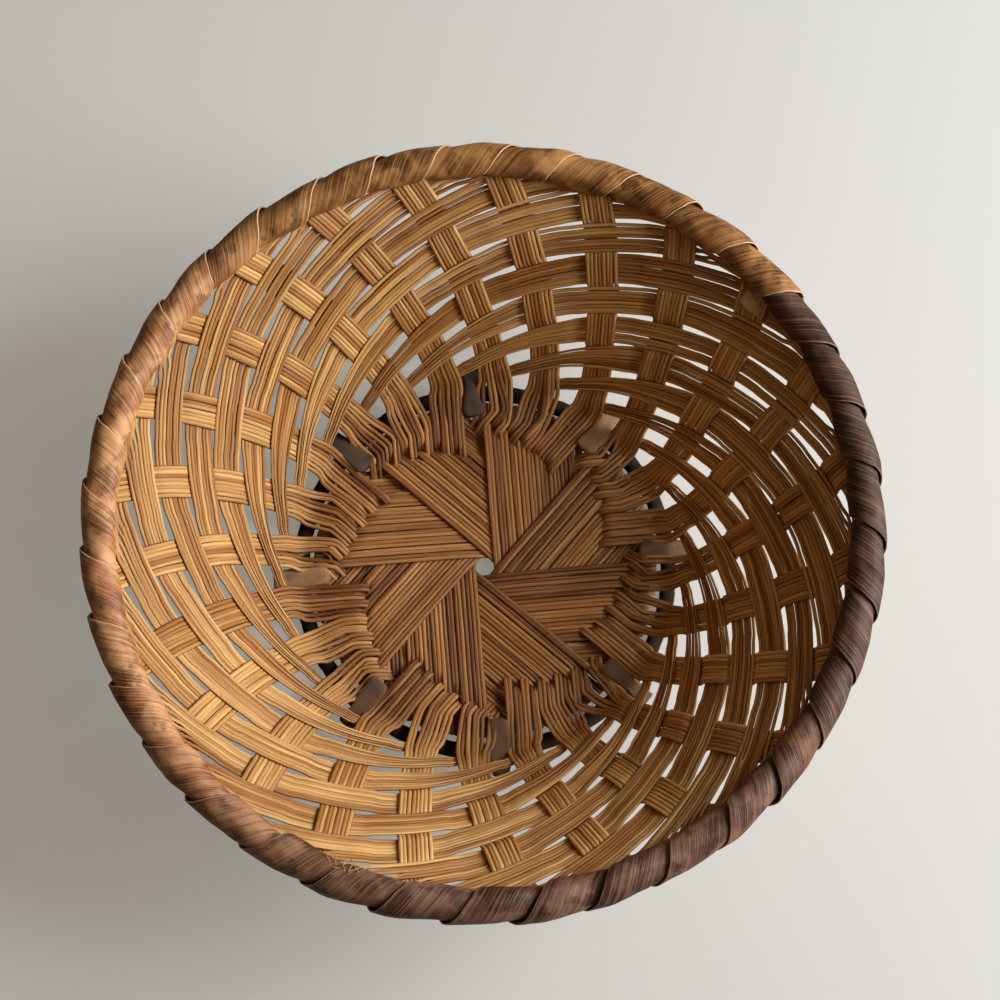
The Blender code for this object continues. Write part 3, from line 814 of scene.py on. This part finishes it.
def add_frayed_fibres(rods):
    """A few loose fibres where the bark is rubbed, on the near left."""
    pick = random.Random(SEED + 2)
    rise, bend, sag = 0.10, 0.35, 0.3
    mesh, _ = new_mesh("tone", "along", "side")
    for i in range(FRAYED_FIBRES):
        angle = math.radians(pick.uniform(*FRAYED_ANGLES))
        turn = pick.uniform(-FRAYED_TURN, FRAYED_TURN)
        start = on_rim(angle, math.radians(pick.uniform(*FRAYED_SIDES)), FRAYED_INSET)
        heading = polar(1.0, angle + math.pi + turn, rise)
        bow = polar(1.0, angle + math.pi / 2, 0.0) * pick.uniform(-1.0, 1.0)
        length = pick.uniform(*FRAYED_LENGTHS)
        route = [(start + heading * length * t + bow * length * bend * t * t
                  - UP * length * sag * t * t, UP, FRAYED_THICKNESS)
                 for t in linspace(0.0, 1.0, FRAYED_STATIONS)]
        rod(mesh, route, FRAYED_TONE, i)
    piece("frayed_fibres", mesh, rods, "rods_lit")


FOOT_WIDTH = 0.0080
FOOT_TURNS = 44
FOOT_SIDES = 12
FOOT_SQUARENESS = 0.55           # 0 makes its section round, 1 square
FOOT_FILL = 0.93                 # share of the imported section
FOOT_LAP = (0.88, 0.11)          # least share of that, and what a lap adds
FOOT_TURN_STEPS = 6


def add_foot():
    """The dark hoop under the corner, wound like the rim but finer."""
    middle, centre = FOOT_OUTER - FOOT_WIDTH / 2, FOOT_HEIGHT / 2
    mesh, layers = new_mesh("tone", "along", "across")
    outline = []
    for i in range(FOOT_SIDES):
        alpha = math.tau * i / FOOT_SIDES
        out, high = math.cos(alpha), math.sin(alpha)
        reach = max(abs(out), abs(high)) ** -FOOT_SQUARENESS * FOOT_FILL
        outline.append(mesh.verts.new((middle + FOOT_WIDTH / 2 * out * reach, 0.0,
                                       centre * (1 + high * reach))))
    edges = [mesh.edges.new((a, b)) for a, b in zip(outline, outline[1:] + outline[:1])]
    bmesh.ops.spin(mesh, geom=outline + edges, cent=(0, 0, 0), axis=(0, 0, 1),
                   angle=math.tau, steps=FOOT_TURNS * FOOT_TURN_STEPS, use_merge=True)
    bmesh.ops.remove_doubles(mesh, verts=mesh.verts, dist=1e-6)
    for vert in mesh.verts:
        theta = math.atan2(vert.co.y, vert.co.x)
        alpha = math.atan2(vert.co.z - centre, vert.co.xy.length - middle)
        phase = theta * FOOT_TURNS / math.tau - alpha / math.tau
        core = polar(middle, theta, centre)
        vert.co = core + (vert.co - core) * (FOOT_LAP[0] + FOOT_LAP[1] * (phase % 1.0))
        vert[layers["tone"]] = 0.5 + 0.5 * drift(math.floor(phase) * 1.7, 0.3, 0.0)
        vert[layers["along"]] = alpha * FOOT_WIDTH / 2
        vert[layers["across"]] = theta * middle
    low = min(vert.co.z for vert in mesh.verts)
    bmesh.ops.translate(mesh, vec=(0, 0, -low), verts=mesh.verts)
    # very dark colours: partly the bark's own, partly painted shade that keeps the lit hoop as
    # dark as the shade under the corner
    bark = bark_material("foot bark", srgb(58, 38, 25), srgb(36, 23, 15), srgb(20, 13, 9), 0.8)
    piece("foot_hoop", mesh, bark, "foot_bark", "foot_ring")


PEG_LENGTH = 0.0250
PEG_WIDTHS = (0.0090, 0.0070)    # at the inner and the outer end
PEG_HEIGHTS = (0.0057, 0.0035)
PEG_INNER_RADIUS = WALL_FOOT_RADIUS - 0.0170
PEG_BEVEL = 0.16
PEG_TAPER = 0.12
PEG_CHIP = 0.0009                # what the knife took off or left
PEG_SIDE_CHIP = 6
# dark is painted shade for pegs that stand in shadow, pale is partly painted light; brown is
# the wood's middle tone
PEG_TONES = ("brown", "pale", "dark", "dark", "pale", "brown", "brown", "brown")


def add_pegs():
    """Whittled pegs, faceted by the knife. Their pale, brown and dark finishes are partly
    the wood's own tones, partly painted light on lit pegs and painted shade on shaded ones.
    """
    pale, middle, dark = srgb(190, 150, 106), srgb(134, 96, 62), srgb(78, 56, 42)
    finishes = {"pale": plain_wood("pale peg", pale, middle, 0.55),
                "brown": plain_wood("brown peg", middle, dark, 0.6),
                "dark": plain_wood("dark peg", srgb(104, 82, 66), srgb(60, 46, 38), 0.65)}
    for index in range(GROUPS):
        mesh, layers = new_mesh("tone", "along", "across")
        bmesh.ops.create_cube(mesh, size=1.0)
        bmesh.ops.bevel(mesh, geom=mesh.edges[:], offset=PEG_BEVEL, offset_type="OFFSET",
                        segments=2, profile=0.5, affect="EDGES", material=-1)
        bmesh.ops.subdivide_edges(mesh, edges=mesh.edges[:], cuts=2, use_grid_fill=True)
        for vert in mesh.verts:
            x, y, z = vert.co
            share = x + 0.5
            vert[layers["tone"]] = 0.5 + 0.5 * drift(x * 3, y * 3, index * 3.3)
            vert[layers["along"]] = x * PEG_LENGTH
            vert[layers["across"]] = (y + z) * PEG_WIDTHS[0]
            wide = mix(*PEG_WIDTHS, share) * (1 - PEG_TAPER * abs(z))
            chip = PEG_CHIP * drift(x * 3 + index * 2.7, y * 3, z * 3)
            vert.co = Vector((PEG_LENGTH * share,
                              wide * y * (1 + PEG_SIDE_CHIP * chip / PEG_WIDTHS[0]),
                              max((mix(*PEG_HEIGHTS, share) + chip) * (z + 0.5), 0.0)))
        angle = group_direction(index)
        place = (Matrix.Translation(polar(PEG_INNER_RADIUS, angle, FOOT_HEIGHT + SEAT_GAP))
                 @ Matrix.Rotation(angle, 4, "Z"))
        bmesh.ops.transform(mesh, matrix=place, verts=mesh.verts)
        piece(f"whittled_peg_{index + 1}", mesh, finishes[PEG_TONES[index]], "peg_wood",
              f"peg_{index + 1}")


def dress_hoop():
    """The core hoop stays as packed; it is all but hidden under the bark."""
    shader = Shader("hoop wood", 0.7)
    grain = shader.noise(shader.place(), 160.0, 4.0)
    colour = shader.blend(grain.ease(0.35, 0.7), srgb(150, 112, 72), srgb(106, 72, 42))
    material = shader.finish(Base_Color=colour, Normal=shader.bump(grain, 0.0003))
    bpy.data.objects["rim_hoop"].material_slots[0].material = material


FLOOR_SIZE = 4.0
FLOOR_GLOW = (0.245, 0.230, 0.200, 1.0)
WARM_LIGHT = (1.0, 0.74, 0.50)
WINDOW_LIGHT = (0.98, 0.99, 1.0)
LIT_SPOT = Vector((0.0, 0.0, 0.05))


def add_lamp(name, size, energy, colour, spot):
    """A round lamp that faces the basket."""
    data = bpy.data.lights.new(name, "AREA")
    data.shape = "DISK"
    data.size, data.energy, data.color = size, energy, colour
    lamp = add_object(name, data)
    lamp.location = spot
    lamp.rotation_euler = (LIT_SPOT - Vector(spot)).to_track_quat("-Z", "Y").to_euler()


def add_stage():
    """Plain pale floor, soft light from the right and behind, and the camera."""
    mesh = bmesh.new()
    bmesh.ops.create_grid(mesh, x_segments=1, y_segments=1, size=FLOOR_SIZE)
    data = mesh_data("floor", mesh)
    floor = add_object("floor", data)
    shader = Shader("plain pale floor", 0.8)
    # only the camera sees this glow, so it lights nothing and the shadow stays
    seen = shader.make("ShaderNodeLightPath", output="Is Camera Ray")
    glow = shader.blend(seen, (0.0, 0.0, 0.0, 1.0), FLOOR_GLOW)
    data.materials.append(shader.finish(Base_Color=srgb(180, 182, 184), Emission_Color=glow,
                                        Emission_Strength=1.0))

    add_lamp("window", size=0.9, energy=24.5, colour=WINDOW_LIGHT, spot=(1.09, 0.115, 0.70))
    add_lamp("ceiling", size=1.4, energy=2.0, colour=WARM_LIGHT, spot=(0.75, 0.03, 1.10))

    world = bpy.data.worlds.new("studio")
    world.use_nodes = True
    background = world.node_tree.nodes["Background"].inputs
    background["Color"].default_value = (*WARM_LIGHT, 1.0)
    background["Strength"].default_value = 0.07
    bpy.context.scene.world = world
    bpy.context.scene.view_settings.view_transform = "Standard"

    tilt = math.radians(CAMERA_TILT)
    back = Vector((0, -math.sin(tilt), math.cos(tilt)))
    up = Vector((0, math.cos(tilt), math.sin(tilt)))
    spot = CAMERA_AIM + back * CAMERA_DISTANCE + up * CAMERA_SHIFT[1]
    spot.x += CAMERA_SHIFT[0]
    data = bpy.data.cameras.new("camera")
    data.lens, data.sensor_width = CAMERA_LENS, CAMERA_SENSOR
    camera = add_object("camera", data)
    camera.location = spot
    camera.rotation_euler = (tilt, 0.0, 0.0)
    bpy.context.scene.camera = camera


add_stage()
add_rods()
add_rim()
add_foot()
add_pegs()
dress_hoop()
